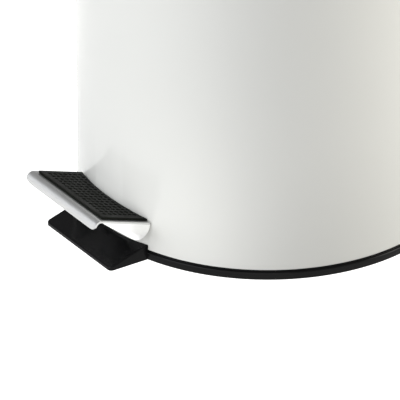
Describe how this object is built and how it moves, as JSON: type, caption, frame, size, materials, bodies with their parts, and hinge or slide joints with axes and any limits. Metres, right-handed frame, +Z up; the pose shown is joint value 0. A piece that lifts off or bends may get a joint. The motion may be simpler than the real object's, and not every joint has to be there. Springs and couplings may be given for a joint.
{
  "type": "pedal trash can",
  "caption": "Round free-standing pedal bin: painted steel shell, hinged domed lid lifted through a lever and push rod by a steel foot pedal with a rubber tread, and a lift-out bucket.",
  "frame": {"origin": "on the floor, at the centre of the whole object's footprint box", "axes": "+Z up, the pedal points towards -Y and the lid hinge is at +Y, +X is the viewer's right when facing the pedal"},
  "size_m": [0.295, 0.366, 0.656],
  "materials": {
    "body_paint": "gloss cream-white powder coat",
    "black_plastic": "satin moulded black",
    "tread_rubber": "matt black tread with small raised lozenges",
    "foot_rubber": "matt black",
    "pedal_steel": "satin stainless",
    "mechanism_steel": "plain galvanised",
    "zinc_fasteners": "bright zinc plate",
    "white_nylon": "natural nylon",
    "bucket_plastic": "dark grey moulded polypropylene"
  },
  "bodies": {
    "can": {"base_ring": "black_plastic", "base_plate": "mechanism_steel", "rubber_foot_1": "foot_rubber", "rubber_foot_2": "foot_rubber", "rubber_foot_3": "foot_rubber", "rubber_foot_4": "foot_rubber", "body_shell": "body_paint", "top_collar": "black_plastic", "pedal_bracket_left": "mechanism_steel", "pedal_bracket_right": "mechanism_steel", "base_screw_1": "zinc_fasteners", "base_screw_2": "zinc_fasteners", "base_screw_3": "zinc_fasteners", "base_screw_4": "zinc_fasteners", "base_screw_5": "zinc_fasteners", "base_screw_6": "zinc_fasteners", "pedal_pivot_pin": "mechanism_steel", "pedal_pin_clip": "zinc_fasteners", "rod_channel": "black_plastic", "channel_rivet_1": "mechanism_steel", "channel_rivet_2": "mechanism_steel", "channel_rivet_3": "mechanism_steel", "channel_rivet_4": "mechanism_steel", "rod_guide_1": "white_nylon", "rod_guide_2": "white_nylon", "hinge_housing": "black_plastic", "housing_screw_left": "zinc_fasteners", "housing_screw_right": "zinc_fasteners", "lid_hinge_pin": "mechanism_steel", "hinge_pin_clip": "zinc_fasteners", "carry_handle": "black_plastic", "handle_screw_left": "zinc_fasteners", "handle_screw_right": "zinc_fasteners", "pivot_bush_left": "white_nylon", "pivot_bush_right": "white_nylon"},
    "pedal": {"pedal_plate": "pedal_steel", "pedal_pad": "tread_rubber", "pedal_lever": "mechanism_steel", "pedal_rivet_left": "mechanism_steel", "pedal_rivet_right": "mechanism_steel"},
    "lift_rod": {"lift_rod": "mechanism_steel", "rod_shoe": "white_nylon", "rod_pusher": "white_nylon"},
    "lid": {"lid_shell": "body_paint", "lid_liner": "black_plastic", "lid_hinge_arm": "black_plastic", "lid_screw_1": "zinc_fasteners", "lid_screw_2": "zinc_fasteners", "lid_screw_3": "zinc_fasteners", "lid_bumper_1": "foot_rubber", "lid_bumper_2": "foot_rubber", "lid_bumper_3": "foot_rubber"},
    "bucket": {"inner_bucket": "bucket_plastic", "bucket_rim": "bucket_plastic"}
  },
  "joints": [
    {"name": "lid_hinge", "type": "hinge", "parent": "can", "child": "lid", "pos_m": [0, 0.16204, 0.632], "axis": [-1, 0, 0], "range_deg": [0, 82]},
    {"name": "pedal_hinge", "type": "hinge", "parent": "can", "child": "pedal", "pos_m": [0, -0.08886, 0.018], "axis": [1, 0, 0], "range_deg": [0, 11]},
    {"name": "rod_slide", "type": "slide", "parent": "can", "child": "lift_rod", "axis": [0, 0, 1], "range_m": [0, 0.043]},
    {"name": "bucket_lift", "type": "slide", "parent": "can", "child": "bucket", "axis": [0, 0, 1], "range_m": [0, 0.0035]}
  ],
  "couplings": [
    {"joint": "pedal_hinge", "follows": "lid_hinge", "ratio": 0.1311},
    {"joint": "rod_slide", "follows": "lid_hinge", "m_per_rad": 0.0297}
  ]
}
